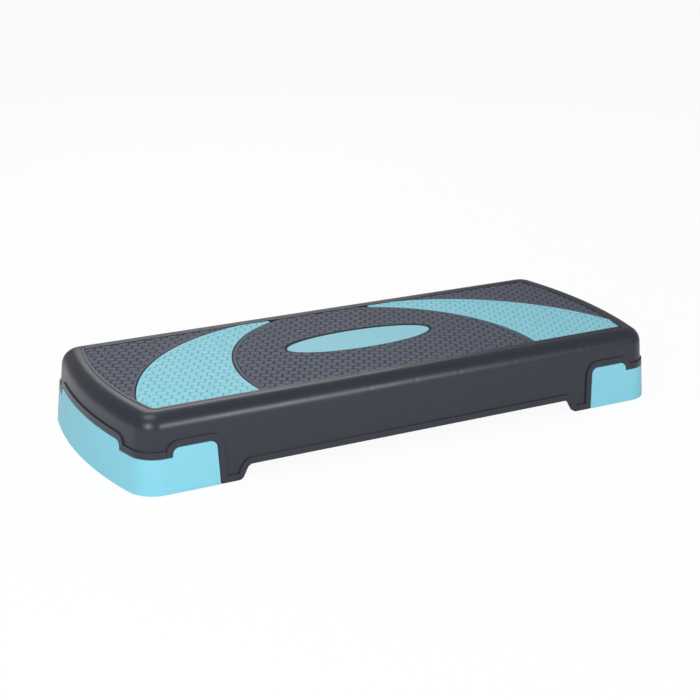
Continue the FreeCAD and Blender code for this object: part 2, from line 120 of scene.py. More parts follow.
# Elliptic plate in the middle of the centre mat, a little larger than the solid's
BADGE_HALF_X = 104 * MM
BADGE_HALF_Y = 33 * MM
SOLID_BADGE_REACH = 9 * MM

# Where the crescents' points towards the middle are cut blunt
CRESCENT_TIP_X = 76 * MM

# Ribs behind the deck's skirt, by their distance from the middle, and the sink marks over them
RIB_PLACES = (0 * MM, 64 * MM, 144.5 * MM, 245 * MM, 258 * MM)
SINK_HALF_WIDTH = 5 * MM
SINK_DEPTH = 0.1 * MM

# How far studs and rims reach into their mat's plate, as a share of their height
SUNK_SHARE = 0.2

# Share of the largest stud's area from which a stud is whole
WHOLE_SHARE = 0.98

# A piece of a stud is left out when it has less area than this share of its perimeter times the round
SLIVER_SHARE = 0.5

# Two steps of the round at a stud's top edge, inwards and upwards, as shares of its width
ROUND_STEPS = ((0.3, 0.55), (0.7, 0.45))

# Width of the band inside the round over which a stud's dome rises, as a share of the stud's radius
DOME_INSET_SHARE = 0.35

# Share of a stud's height, down from its top, that keeps the top's own colour; below it the painted shade
# of the grooves begins
UNSHADED_TOP_SHARE = 0.2

# Camera of the photograph
CAMERA_AZIMUTH = math.radians(-29.31)
CAMERA_ELEVATION = math.radians(19.38)
CAMERA_ROLL = math.radians(0.99)
CAMERA_DISTANCE = 2.089
CAMERA_TARGET = Vector((0.0205, 0.0612, 0.0536))
FOCAL_PIXELS = 1561.18
IMAGE_PIXELS = 700
SENSOR_WIDTH = 36.0

# Studio: name, place, width, height and watts of each soft light, all facing one point
SOFTBOXES = (("softbox_top", (-0.6, 0.1, 1.7), 1.0, 1.0, 11),
             ("softbox_left", (-1.6, -1.3, 0.95), 0.8, 0.8, 22),
             ("softbox_front", (0.7, -2.1, 0.85), 0.7, 0.6, 20),
             ("softbox_back", (0.5, 1.65, 1.25), 1.3, 0.9, 9))
LIGHT_AIM = (0, 0, 0.05)
SKY_STRENGTH = 0.25
FLOOR_HALF_SIZE = 14

# Shares of plain white over the floor and over the sky, for the camera and for reflections
FLOOR_WHITE = (0.94, 0.05)
SKY_WHITE = (1.0, 0.1)

SIDES = (("left", -1), ("right", 1))


def linear(hex_colour):
    """Linear RGB of an sRGB hex colour."""
    parts = [int(hex_colour[i:i + 2], 16) / 255 for i in (1, 3, 5)]
    return tuple(c / 12.92 if c <= 0.04045 else ((c + 0.055) / 1.055) ** 2.4 for c in parts)


def colour_property(name, description, hex_colour):
    """Colour setting with an sRGB hex default."""
    return bpy.props.FloatVectorProperty(name=name, description=description, subtype="COLOR", size=3,
                                         min=0, max=1, default=linear(hex_colour))


def length_property(name, description, millimetres):
    """Length setting with a default in millimetres."""
    return bpy.props.FloatProperty(name=name, description=description, unit="LENGTH", precision=5,
                                   min=0, default=millimetres * MM)


class StepStudSizes(bpy.types.PropertyGroup):
    """Sizes of the studs on the tread mats."""
    pitch: length_property("Pitch", "Distance between the middles of two studs side by side", 13.0)
    groove: length_property("Groove", "Width of the groove between two studs of a black mat", 0.75)
    cyan_groove: length_property("Cyan groove", "Width of the groove between two studs of a crescent", 0.3)
    height: length_property("Height", "Height of a black mat's stud above the groove's floor", 0.75)
    cyan_height: length_property("Cyan height", "Height of a crescent's stud above the groove", 0.6)
    corner: length_property("Corner", "How far the round of a stud's corner reaches along its sides", 2.9)
    edge: length_property("Edge", "Width of the round at a stud's top edge", 0.45)
    dome: length_property("Dome", "Rise of a stud's top from its edge to its middle", 0.08)
    margin: length_property("Margin", "Bare band along a mat's straight edges", 0.4)
    centre_rim: length_property("Centre rim", "Width of the smooth rim along the centre mat's seams", 4.2)
    side_rim: length_property("Side rim", "Width of the smooth rim along an end mat's seam", 2.4)
    inlay_rim: length_property("Crescent rim", "Width of the smooth rim along a crescent's seams", 1.8)
    seam: length_property("Seam", "Bare dark band of the black mats along a crescent's seams", 1.4)
    badge_margin: length_property("Oval margin", "Bare band round the oval plate", 3.0)


class StepEdgeSizes(bpy.types.PropertyGroup):
    """Sizes of the eased edges on the moulded pieces."""
    lip: length_property("Lip edge", "Round along the upper edge of the deck's lip", 1.6)
    skirt: length_property("Skirt edge", "Round along the deck's lower edge", 0.9)
    bead: length_property("Bead edge", "Round along the bead and groove round the tread field", 0.5)
    riser: length_property("Riser edge", "Round along the risers' outer edges", 0.7)
    badge: length_property("Oval edge", "Round along the oval plate's top edge", 0.5)
    foot: length_property("Foot edge", "Round along the edges of the rubber feet", 0.5)


class StepColours(bpy.types.PropertyGroup):
    """Colours of the step's materials."""
    deck: colour_property("Deck", "Charcoal of the deck's plastic", "#272A35")
    riser: colour_property("Risers", "Light cyan of the risers' plastic", "#7FC6D8")
    tread: colour_property("Tread", "Charcoal of the black mats' rubber", "#4F5462")
    # Painted shade: darker charcoal for the shade in the grooves between the black mats' studs
    tread_groove_shade: colour_property("Tread groove shade", "Charcoal between the black mats' studs", "#2E313A")
    inlay: colour_property("Crescents", "Light cyan of the crescent mats' rubber", "#8FCBD7")
    # Painted shade: darker teal for the shade in the grooves and pits between the crescents' studs
    inlay_groove_shade: colour_property("Crescent groove shade", "Teal between the crescent mats' studs", "#3FAAC4")
    badge: colour_property("Oval plate", "Light cyan of the bare oval plate", "#8CC8D6")
    foot: colour_property("Feet", "Black of the rubber feet", "#1A1A1C")
    floor: colour_property("Floor", "White of the floor", "#F6F6F6")


def add_node(tree, kind, inputs=None, links=None, **settings):
    """A shader node with its settings, its constant inputs and the sockets that feed it."""
    made = tree.nodes.new(kind)
    for name, value in settings.items():
        setattr(made, name, value)
    for name, value in (inputs or {}).items():
        made.inputs[name].default_value = value
    for name, socket in (links or {}).items():
        tree.links.new(socket, made.inputs[name])
    return made


def new_material(name):
    """An empty node material, its tree and its output."""
    material = bpy.data.materials.new(name)
    material.use_nodes = True
    tree = material.node_tree
    tree.nodes.clear()
    return material, tree, add_node(tree, "ShaderNodeOutputMaterial")


def scaled(colour, factor):
    """RGBA of a colour made lighter or darker."""
    return tuple(min(c * factor, 1.0) for c in colour) + (1.0,)


def sink_marks(tree, place):
    """Height of the shallow dips that form in the skin over the ribs, 0 in a dip and 1 elsewhere."""
    along = add_node(tree, "ShaderNodeSeparateXYZ", None, {"Vector": place}).outputs["X"]
    away = add_node(tree, "ShaderNodeMath", None, {0: along}, operation="ABSOLUTE").outputs[0]
    height = None
    for rib in RIB_PLACES:
        off = add_node(tree, "ShaderNodeMath", {1: rib}, {0: away}, operation="SUBTRACT").outputs[0]
        gap = add_node(tree, "ShaderNodeMath", None, {0: off}, operation="ABSOLUTE").outputs[0]
        dip = add_node(tree, "ShaderNodeMapRange", {"From Min": 0.0, "From Max": SINK_HALF_WIDTH},
                       {"Value": gap}, interpolation_type="SMOOTHSTEP").outputs["Result"]
        height = dip if height is None else add_node(tree, "ShaderNodeMath", None, {0: height, 1: dip},
                                                     operation="MINIMUM").outputs[0]
    return height


def moulded_polypropylene(name, colour, roughness, spread, specular, ribbed=False):
    """Injection-moulded polypropylene from a finely eroded mould.

    It shows a satin sheen that is a little uneven where the melt cooled, and a fine grain. The real
    grain is about 0.2 mm wide; it is drawn 0.9 mm wide so that it shows. A ribbed piece shows faint
    sink marks over its ribs.
    """
    material, tree, output = new_material(name)
    place = add_node(tree, "ShaderNodeTexCoord").outputs["Object"]
    cloud = add_node(tree, "ShaderNodeTexNoise", {"Scale": 1 / (70 * MM), "Detail": 3.0},
                     {"Vector": place})
    grain = add_node(tree, "ShaderNodeTexNoise", {"Scale": 1 / (0.9 * MM), "Detail": 2.0},
                     {"Vector": place})
    tint = add_node(tree, "ShaderNodeMix", {6: scaled(colour, 1 - spread), 7: scaled(colour, 1 + spread)},
                    {0: cloud.outputs["Fac"]}, data_type="RGBA")
    sheen = add_node(tree, "ShaderNodeMapRange",
                     {"From Min": 0.3, "From Max": 0.7,
                      "To Min": roughness - 0.03, "To Max": roughness + 0.03},
                     {"Value": cloud.outputs["Fac"]})
    bump = add_node(tree, "ShaderNodeBump", {"Strength": 0.08, "Distance": 0.05 * MM},
                    {"Height": grain.outputs["Fac"]})
    if ribbed:
        bump = add_node(tree, "ShaderNodeBump", {"Strength": 1.0, "Distance": SINK_DEPTH},
                        {"Height": sink_marks(tree, place), "Normal": bump.outputs["Normal"]})
    shader = add_node(tree, "ShaderNodeBsdfPrincipled", {"IOR": 1.49, "Specular IOR Level": specular},
                      {"Base Color": tint.outputs[2], "Roughness": sheen.outputs["Result"],
                       "Normal": bump.outputs["Normal"]})
    tree.links.new(shader.outputs["BSDF"], output.inputs["Surface"])
    return material


def studded_rubber(name, colour, groove_shade_colour, stud_height, roughness):
    """Moulded thermoplastic rubber with raised studs.

    The stud tops are smoother than the grooves between them, which are painted darker as painted
    shade. The surface has a soft pebble, drawn 0.8 mm wide so that it shows.
    """
    material, tree, output = new_material(name)
    place = add_node(tree, "ShaderNodeTexCoord").outputs["Object"]
    height = add_node(tree, "ShaderNodeSeparateXYZ", None, {"Vector": place}).outputs["Z"]
    # Painted shade: the colour darkens from the stud tops down to the groove's floor, and the grooves get
    # rougher
    groove_shade_mask = add_node(tree, "ShaderNodeMapRange",
                    {"From Min": FIELD_TOP - stud_height, "From Max": FIELD_TOP - UNSHADED_TOP_SHARE * stud_height},
                    {"Value": height})
    cloud = add_node(tree, "ShaderNodeTexNoise", {"Scale": 1 / (45 * MM), "Detail": 4.0},
                     {"Vector": place})
    pebble = add_node(tree, "ShaderNodeTexNoise", {"Scale": 1 / (0.8 * MM), "Detail": 2.0},
                      {"Vector": place})
    top = add_node(tree, "ShaderNodeMix", {6: scaled(colour, 0.95), 7: scaled(colour, 1.05)},
                   {0: cloud.outputs["Fac"]}, data_type="RGBA")
    # Mixes the painted groove shade in below the stud tops
    tint = add_node(tree, "ShaderNodeMix", {6: scaled(groove_shade_colour, 1)},
                    {0: groove_shade_mask.outputs["Result"], 7: top.outputs[2]}, data_type="RGBA")
    dull = add_node(tree, "ShaderNodeMapRange", {"To Min": roughness + 0.2, "To Max": roughness},
                    {"Value": groove_shade_mask.outputs["Result"]})
    bump = add_node(tree, "ShaderNodeBump", {"Strength": 0.15, "Distance": 0.05 * MM},
                    {"Height": pebble.outputs["Fac"]})
    shader = add_node(tree, "ShaderNodeBsdfPrincipled", {"IOR": 1.5, "Specular IOR Level": 0.2},
                      {"Base Color": tint.outputs[2], "Roughness": dull.outputs["Result"],
                       "Normal": bump.outputs["Normal"]})
    tree.links.new(shader.outputs["BSDF"], output.inputs["Surface"])
    return material


def foot_rubber(name, colour):
    """Die-cut black rubber: matt, with a fine cellular speckle drawn 1.2 mm wide so that it shows."""
    material, tree, output = new_material(name)
    place = add_node(tree, "ShaderNodeTexCoord").outputs["Object"]
    cells = add_node(tree, "ShaderNodeTexVoronoi", {"Scale": 1 / (1.2 * MM)}, {"Vector": place})
    tint = add_node(tree, "ShaderNodeMix", {6: scaled(colour, 0.8), 7: scaled(colour, 1.3)},
                    {0: cells.outputs["Distance"]}, data_type="RGBA")
    bump = add_node(tree, "ShaderNodeBump", {"Strength": 0.3, "Distance": 0.1 * MM},
                    {"Height": cells.outputs["Distance"]})
    shader = add_node(tree, "ShaderNodeBsdfPrincipled", {"IOR": 1.5, "Roughness": 0.8},
                      {"Base Color": tint.outputs[2], "Normal": bump.outputs["Normal"]})
    tree.links.new(shader.outputs["BSDF"], output.inputs["Surface"])
    return material


def merged_copy(node):
    """The node's mesh as a bmesh of welded flat faces."""
    bm = bmesh.new()
    bm.from_mesh(frame["nodes"][node].data)
    bmesh.ops.remove_doubles(bm, verts=bm.verts, dist=WELD_DISTANCE)
    bmesh.ops.dissolve_degenerate(bm, edges=bm.edges, dist=SPECK_LENGTH)
    bmesh.ops.dissolve_limit(bm, angle_limit=FLAT_ANGLE, verts=bm.verts, edges=bm.edges)
    return bm


def ease_edges(bm, edges, width, segments=2):
    """Rounds the given edges."""
    bmesh.ops.bevel(bm, geom=edges, offset=width, offset_type="OFFSET", segments=segments, profile=0.5,
                    affect="EDGES", clamp_overlap=True, material=-1)


def outward_inset(point):
    """How far a point lies inside the lip's drafted outer face."""
    x = abs(point.x)
    y = abs(point.y)
    end_centre = HALF_LENGTH - END_RADIUS
    corner_y = HALF_WIDTH - CORNER_RADIUS
    corner_x = end_centre + math.sqrt((END_RADIUS - CORNER_RADIUS) ** 2 - corner_y ** 2)
    turn = math.atan2(y, x - end_centre)
    limit = math.asin(corner_y / (END_RADIUS - CORNER_RADIUS))
    if x <= corner_x:
        inset = HALF_WIDTH - y
    elif turn <= limit:
        inset = END_RADIUS - math.hypot(x - end_centre, y)
    else:
        inset = CORNER_RADIUS - math.hypot(x - corner_x, y - corner_y)
    return inset - point.z * DRAFT_SLOPE


def outer_sharp_edges(bm, depth):
    """Sharp outward edges near the step's outer face."""
    found = []
    for edge in bm.edges:
        if len(edge.link_faces) != 2 or edge.calc_face_angle_signed(0) < OUTER_EDGE_ANGLE:
            continue
        if outward_inset((edge.verts[0].co + edge.verts[1].co) / 2) < depth:
            found.append(edge)
    return found


def borders_lip_ledge(edge):
    """Whether one of an edge's faces is the ledge on top of the deck's lip."""
    least, most = LEDGE_INSET
    reach = [max(outward_inset(v.co) for v in face.verts) for face in edge.link_faces]
    return any(least < inset < most for inset in reach)


def sharp_edges_above(bm, level):
    """Sharp edges that lie above a level."""
    return [e for e in bm.edges if e.calc_face_angle(0) > TOP_EDGE_ANGLE
            and all(v.co.z > level for v in e.verts)]


def cut_off(bm, place, normal):
    """Cuts a bmesh by a plane and drops what lies beyond it."""
    bmesh.ops.bisect_plane(bm, geom=[*bm.verts, *bm.edges, *bm.faces], plane_co=(*place, 0),
                           plane_no=(*normal, 0), clear_outer=True)


def close_cuts(bm):
    """Closes the open ends that cuts have left."""
    bmesh.ops.holes_fill(bm, edges=[e for e in bm.edges if e.is_boundary])


def finished_piece(bm, name, material, body, nodes, smooth_angle=35):
    """Makes a shown piece of a bmesh, smooth but for its sharp edges, in the place of some nodes."""
    for face in bm.faces:
        face.smooth = True
    for edge in bm.edges:
        edge.smooth = len(edge.link_faces) == 2 and edge.calc_face_angle(0) < math.radians(smooth_angle)
    mesh = bpy.data.meshes.new(name)
    bm.to_mesh(mesh)
    bm.free()
    piece = bpy.data.objects.new(name, mesh)
    bpy.context.scene.collection.objects.link(piece)
    mesh.materials.append(material)
    weighted = piece.modifiers.new("even_normals", "WEIGHTED_NORMAL")
    weighted.keep_sharp = True
    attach(piece, body)
    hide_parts(*nodes)


def inside_line(normal, reach):
    """Edge of a zone: what lies short of a straight line."""
    normal = Vector(normal)
    return lambda p: (reach - p.dot(normal), normal)


def inside_circle(centre, radius):
    """Edge of a zone: what lies inside a circle."""
    def edge(p):
        away = p - Vector(centre)
        return radius - away.length, away.normalized()
    return edge


def inside_ellipse(centre_y, half_x, half_y):
    """Edge of a zone: what lies inside an ellipse that is centred on the Y axis."""
    def edge(p):
        q = Vector((p.x / half_x, (p.y - centre_y) / half_y))
        if q.length < 1e-6:
            return min(half_x, half_y), Vector((0, 1))
        slope = Vector((q.x / half_x, q.y / half_y)) / q.length
        return (1 - q.length) / slope.length, slope.normalized()
    return edge


def outside(edge):
    """Edge of a zone: what lies on the far side of another edge."""
    def other(p):
        depth, normal = edge(p)
        return -depth, -normal
    return other


def inner_seam():
    """Edge of the centre mat's zone."""
    return inside_ellipse(INNER_CENTRE_Y, INNER_HALF_X, INNER_HALF_Y)


def outer_seam(sign):
    """Outer edge of a crescent's zone."""
    return inside_circle((sign * OUTER_CENTRE_X, OUTER_CENTRE_Y), OUTER_RADIUS)


def badge_edge():
    """Edge of the oval plate's zone."""
    return inside_ellipse(0, BADGE_HALF_X, BADGE_HALF_Y)


def field_edges(sign):
    """Edges of the tread field: its two long sides and one of its ends."""
    end_centre = (sign * (FIELD_HALF_LENGTH - FIELD_END_RADIUS), 0)
    return [inside_line((0, 1), FIELD_HALF_WIDTH), inside_line((0, -1), FIELD_HALF_WIDTH),
            inside_circle(end_centre, FIELD_END_RADIUS)]


def tread_zones():
    """Each mat's node with its seams, and the edges of its studs with the bare margin along each."""
    studs = bpy.context.scene.step_studs
    rounding = 2 * studs.edge
    inner = inner_seam()
    solid_inner = inside_ellipse(*SOLID_INNER)
    around = outside(badge_edge())
    field = [(edge, studs.margin) for edge in field_edges(1)[:2]]
    zones = {"centre_tread": ([(solid_inner, inner, SOLID_SEAM_REACH),
                               (around, around, SOLID_BADGE_REACH)],
                              field + [(inner, studs.seam + studs.centre_rim + studs.groove),
                                       (around, studs.badge_margin)])}
    for side, sign in SIDES:
        ends = [(edge, studs.margin) for edge in field_edges(sign)] + [(inside_line((-sign, 0), 0), 0)]
        beyond = outside(inner)
        outer = outer_seam(sign)
        solid_x, solid_y = SOLID_OUTER_CENTRE
        solid_outer = inside_circle((sign * solid_x, solid_y), SOLID_OUTER_RADIUS)
        past = outside(outer)
        inlay_margin = studs.inlay_rim - rounding
        zones[side + "_inlay"] = ([(outside(solid_inner), beyond, SOLID_SEAM_REACH),
                                   (solid_outer, outer, SOLID_SEAM_REACH)],
                                  ends + [(outer, inlay_margin), (beyond, inlay_margin)])
        zones[side + "_tread"] = ([(outside(solid_outer), past, SOLID_SEAM_REACH)],
                                  ends + [(past, studs.seam + studs.side_rim - rounding)])
    return zones


def draw_to_seams(bm, seams):
    """Draws the points on a solid's seams to the new seams, along the field's own edge at the corners."""
    for vert in bm.verts:
        for solid_seam, seam, reach in seams:
            if abs(solid_seam(vert.co.xy)[0] - SEAM_HALF_GAP) > reach:
                continue
            slide = None
            for edge in field_edges(math.copysign(1, vert.co.x)):
                edge_depth, edge_normal = edge(vert.co.xy)
                if edge_depth < SEAM_HALF_GAP:
                    slide = edge_normal.orthogonal()
            for _ in range(SEAM_STEPS):
                depth, normal = seam(vert.co.xy)
                way = slide or normal
                vert.co.xy += way * (depth - SEAM_HALF_GAP) / way.dot(normal)


def stud_lattice():
    """Centres of a honeycomb whose corners point along X, over the whole field."""
    studs = bpy.context.scene.step_studs
    step_x = studs.pitch * math.sqrt(3) / 2
    columns = math.ceil(FIELD_HALF_LENGTH / step_x)
    rows = math.ceil(FIELD_HALF_WIDTH / studs.pitch) + 1
    for i in range(-columns, columns + 1):
        shift = studs.pitch / 2 if i % 2 else 0
        for j in range(-rows, rows + 1):
            yield Vector((i * step_x, j * studs.pitch + shift))


def stud_key(point):
    """A stud's column and half-row in the lattice."""
    pitch = bpy.context.scene.step_studs.pitch
    return round(point.x / (pitch * math.sqrt(3) / 2)), round(point.y / (pitch / 2))


def stud_field(edges, groove, height):
    """The studs of one mat: rounded hexagons, cut off along the mat's edges."""
    studs = bpy.context.scene.step_studs
    radius = (studs.pitch - groove) / math.sqrt(3)
    floor = FIELD_TOP - height
    sunk = floor - SUNK_SHARE * height
    turn = Matrix.Rotation(math.radians(30), 4, "Z")
    bm = bmesh.new()
    cuts = {}
    for centre in stud_lattice():
        depths = [(depth - margin, normal) for depth, normal, margin in
                  [(*edge(centre), margin) for edge, margin in edges]]
        if min(depth for depth, normal in depths) < -radius:
            continue
        place = Matrix.Translation((centre.x, centre.y, sunk)) @ turn
        bmesh.ops.create_circle(bm, cap_ends=True, segments=6, radius=radius, matrix=place)
        cuts[stud_key(centre)] = [(centre + normal * depth, normal)
                                  for depth, normal in depths if depth < radius]
    bmesh.ops.bevel(bm, geom=bm.verts[:], offset=studs.corner, offset_type="OFFSET", segments=2,
                    profile=0.5, affect="VERTICES", clamp_overlap=True, material=-1)
    for face in bm.faces[:]:
        part = [face, *face.edges, *face.verts]
        for point, normal in cuts[stud_key(face.calc_center_median())]:
            result = bmesh.ops.bisect_plane(bm, geom=part, plane_co=(point.x, point.y, 0),
                                            plane_no=(normal.x, normal.y, 0), clear_outer=True)
            part = [item for item in result["geom"] if item.is_valid]
    slivers = [f for f in bm.faces if f.calc_area() < SLIVER_SHARE * studs.edge * f.calc_perimeter()]
    bmesh.ops.delete(bm, geom=slivers, context="FACES")
    bmesh.ops.recalc_face_normals(bm, faces=bm.faces)
    for face in bm.faces:
        if face.normal.z < 0:
            face.normal_flip()

    raised = bmesh.ops.extrude_face_region(bm, geom=bm.faces[:], use_keep_orig=True)["geom"]
    tops = [item for item in raised if isinstance(item, bmesh.types.BMFace)]
    corners = [item for item in raised if isinstance(item, bmesh.types.BMVert)]
    wall = floor + height - studs.edge - studs.dome - sunk
    bmesh.ops.translate(bm, verts=corners, vec=(0, 0, wall))
    whole_area = WHOLE_SHARE * max(f.calc_area() for f in tops)
    cut = {f for f in tops if f.calc_area() < whole_area}
    bmesh.ops.translate(bm, verts=list({v for f in cut for v in f.verts}), vec=(0, 0, studs.edge))
    whole = [f for f in tops if f not in cut]
    for across, rise in ROUND_STEPS:
        bmesh.ops.inset_individual(bm, faces=whole, thickness=across * studs.edge, depth=rise * studs.edge,
                                   use_even_offset=False)
    bmesh.ops.inset_individual(bm, faces=whole, thickness=DOME_INSET_SHARE * radius, depth=studs.dome,
                               use_even_offset=False)
    bmesh.ops.recalc_face_normals(bm, faces=bm.faces)
    return bm


def rim_ribbon(centre, half_x, half_y, width, height, set_back, turn, sign):
    """A smooth raised rim along a seam: inside it for a positive width, outside it for a negative one."""
    studs = bpy.context.scene.step_studs
    start, sweep = turn
    sunk = (1 + SUNK_SHARE) * height
    set_back = math.copysign(set_back, width)
    bm = bmesh.new()
    stand = Matrix.Rotation(math.radians(90), 4, "X")
    size = Matrix.Diagonal((abs(width), sunk, 1, 1))
    middle = Matrix.Translation((half_x - set_back - width / 2, 0, FIELD_TOP - sunk / 2))
    bmesh.ops.create_grid(bm, x_segments=1, y_segments=1, size=0.5, matrix=middle @ stand @ size)
    upper = [v for v in bm.verts if v.co.z > FIELD_TOP - sunk / 2]
    bmesh.ops.bevel(bm, geom=upper, offset=studs.edge, offset_type="OFFSET", segments=2, profile=0.5,
                    affect="VERTICES", clamp_overlap=True, material=-1)
    bmesh.ops.rotate(bm, verts=bm.verts, cent=(0, 0, 0), matrix=Matrix.Rotation(start, 3, "Z"))
    bmesh.ops.spin(bm, geom=[*bm.verts, *bm.edges, *bm.faces], cent=(0, 0, 0), axis=(0, 0, 1), angle=sweep,
                   steps=RIM_STEPS)
    bmesh.ops.scale(bm, vec=(1, half_y / half_x, 1), verts=bm.verts)
    bmesh.ops.translate(bm, vec=centre, verts=bm.verts)
    corner = Vector((max(v.co.x for v in bm.verts), min(v.co.y for v in bm.verts)))
    for edge in field_edges(1):
        depth, normal = edge(corner)
        cut_off(bm, corner + normal * (depth - studs.margin / 2), normal)
    close_cuts(bm)
    bmesh.ops.scale(bm, vec=(sign, 1, 1), verts=bm.verts)
    bmesh.ops.recalc_face_normals(bm, faces=bm.faces)
    return bm


def inner_rim(sign, width, height, set_back):
    """The rim along one side of the centre mat's seam."""
    return rim_ribbon((0, INNER_CENTRE_Y, 0), INNER_HALF_X, INNER_HALF_Y, width, height, set_back,
                      INNER_RIM_TURN, sign)


def outer_rim(sign, width, height, set_back):
    """The rim along the seam outside a crescent."""
    return rim_ribbon((OUTER_CENTRE_X, OUTER_CENTRE_Y, 0), OUTER_RADIUS, OUTER_RADIUS, width, height,
                      set_back, OUTER_RIM_TURN, sign)


def add_bmesh(bm, extra):
    """Joins a second bmesh to the first."""
    mesh = bpy.data.meshes.new("joined")
    extra.to_mesh(mesh)
    extra.free()
    bm.from_mesh(mesh)
    bpy.data.meshes.remove(mesh)


class STEP_OT_deck(bpy.types.Operator):
    """Dress the moulded deck with eased lip, skirt and bead edges and satin plastic"""
    bl_idname = "step.deck"
    bl_label = "Deck"

    def execute(self, context):
        edges = context.scene.step_edges
        bm = merged_copy("deck")
        ledge = [e for e in outer_sharp_edges(bm, DECK_EDGE_DEPTH) if borders_lip_ledge(e)]
        ease_edges(bm, ledge, edges.lip, segments=3)
        ease_edges(bm, outer_sharp_edges(bm, DECK_EDGE_DEPTH), edges.skirt)
        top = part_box("deck")[1].z
        ease_edges(bm, sharp_edges_above(bm, top - BEAD_LEVEL_SPAN), edges.bead)
        material = moulded_polypropylene("moulded_polypropylene_charcoal", context.scene.step_colours.deck,
                                         roughness=0.34, spread=0.05, specular=0.45, ribbed=True)
        finished_piece(bm, "deck_moulding", material, "deck", ["deck"])
        return {"FINISHED"}


class STEP_OT_risers(bpy.types.Operator):
    """Dress the two sliding end risers with eased edges and satin plastic"""
    bl_idname = "step.risers"
    bl_label = "Risers"

    def execute(self, context):
        material = moulded_polypropylene("moulded_polypropylene_cyan", context.scene.step_colours.riser,
                                         roughness=0.42, spread=0.03, specular=0.4)
        for side, sign in SIDES:
            node = side + "_riser"
            bm = merged_copy(node)
            ease_edges(bm, outer_sharp_edges(bm, RISER_EDGE_DEPTH), context.scene.step_edges.riser)
            finished_piece(bm, node + "_moulding", material, node, [node])
        return {"FINISHED"}


class STEP_OT_treads(bpy.types.Operator):
    """Make the five studded mats, each a plate with its own studs and rims"""
    bl_idname = "step.treads"
    bl_label = "Tread mats"

    def execute(self, context):
        colours = context.scene.step_colours
        studs = context.scene.step_studs
        # The groove colours given to the mats are painted shade in the grooves
        black = studded_rubber("moulded_rubber_charcoal", colours.tread, colours.tread_groove_shade, studs.height,
                               roughness=0.55)
        cyan = studded_rubber("moulded_rubber_cyan", colours.inlay, colours.inlay_groove_shade, studs.cyan_height,
                              roughness=0.55)
        rims = {"centre_tread": [inner_rim(sign, studs.centre_rim, studs.height, studs.seam)
                                 for side, sign in SIDES]}
        for side, sign in SIDES:
            rims[side + "_inlay"] = [inner_rim(sign, -studs.inlay_rim, studs.cyan_height, SEAM_HALF_GAP),
                                     outer_rim(sign, studs.inlay_rim, studs.cyan_height, SEAM_HALF_GAP)]
            rims[side + "_tread"] = [outer_rim(sign, -studs.side_rim, studs.height, studs.seam)]
        for node, (seams, edges) in tread_zones().items():
            is_inlay = node.endswith("inlay")
            height = studs.cyan_height if is_inlay else studs.height
            groove = studs.cyan_groove if is_inlay else studs.groove
            bm = merged_copy(node)
            draw_to_seams(bm, seams)
            upper = [v for v in bm.verts if v.co.z > FIELD_TOP - height]
            bmesh.ops.translate(bm, verts=upper, vec=(0, 0, -height))
            for extra in (stud_field(edges, groove, height), *rims[node]):
                add_bmesh(bm, extra)
            if is_inlay:
                sign = -1 if node.startswith("left") else 1
                cut_off(bm, (sign * CRESCENT_TIP_X, 0), (-sign, 0))
                close_cuts(bm)
            finished_piece(bm, node + "_mat", cyan if is_inlay else black, "deck",
                           [node], smooth_angle=60)
        return {"FINISHED"}


class STEP_OT_badge(bpy.types.Operator):
    """Make the bare oval plate with a rounded top edge"""
    bl_idname = "step.badge"
    bl_label = "Oval plate"

    def execute(self, context):
        bm = merged_copy("badge_plate")
        draw_to_seams(bm, [(badge_edge(), badge_edge(), SOLID_BADGE_REACH)])
        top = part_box("badge_plate")[1].z
        rim = sharp_edges_above(bm, top - LEVEL_SPAN)
        ease_edges(bm, rim, context.scene.step_edges.badge, segments=3)
        material = moulded_polypropylene("moulded_polypropylene_oval", context.scene.step_colours.badge,
                                         roughness=0.55, spread=0.02, specular=0.3)
        finished_piece(bm, "badge_plate_oval", material, "deck", ["badge_plate"])
        return {"FINISHED"}


class STEP_OT_feet(bpy.types.Operator):
    """Dress the rubber feet under the tabs and the risers with eased edges"""
    bl_idname = "step.feet"
    bl_label = "Rubber feet"

    def execute(self, context):
        material = foot_rubber("die_cut_rubber_black", context.scene.step_colours.foot)
        for body, nodes in frame["record"]["behaviour"]["bodies"].items():
            for node in nodes:
                if "_foot_" not in node:
                    continue
                bm = merged_copy(node)
                low = [e for e in bm.edges if all(v.co.z < LEVEL_SPAN for v in e.verts)]
                ease_edges(bm, low, context.scene.step_edges.foot)
                finished_piece(bm, node + "_pad", material, body, [node])
        return {"FINISHED"}


def area_light(name, place, aim, size_x, size_y, power):
    """Adds a rectangular soft light that faces a point."""
    light = bpy.data.lights.new(name, "AREA")
    light.shape = "RECTANGLE"
    light.size = size_x
    light.size_y = size_y
    light.energy = power
    lamp = bpy.data.objects.new(name, light)
    bpy.context.scene.collection.objects.link(lamp)
    lamp.location = place
    lamp.rotation_euler = (Vector(aim) - Vector(place)).to_track_quat("-Z", "Y").to_euler()


def shown_white(tree, surface, seen_share, mirrored_share):
    """Mixes a plain white over a shader, by one share for the camera and one for reflections."""
    rays = add_node(tree, "ShaderNodeLightPath")
    bounces = {0: rays.outputs["Is Glossy Ray"], 1: rays.outputs["Is Transmission Ray"]}
    bounced = add_node(tree, "ShaderNodeMath", None, bounces, operation="MAXIMUM")
    mirrored = add_node(tree, "ShaderNodeMath", {1: mirrored_share}, {0: bounced.outputs[0]},
                        operation="MULTIPLY")
    amount = add_node(tree, "ShaderNodeMath", {1: seen_share},
                      {0: rays.outputs["Is Camera Ray"], 2: mirrored.outputs[0]}, operation="MULTIPLY_ADD")
    kind = "ShaderNodeBackground" if surface.bl_idname == "ShaderNodeBackground" else "ShaderNodeEmission"
    white = add_node(tree, kind, {"Color": (1, 1, 1, 1), "Strength": 1.0})
    return add_node(tree, "ShaderNodeMixShader", None,
                    {0: amount.outputs[0], 1: surface.outputs[0], 2: white.outputs[0]})


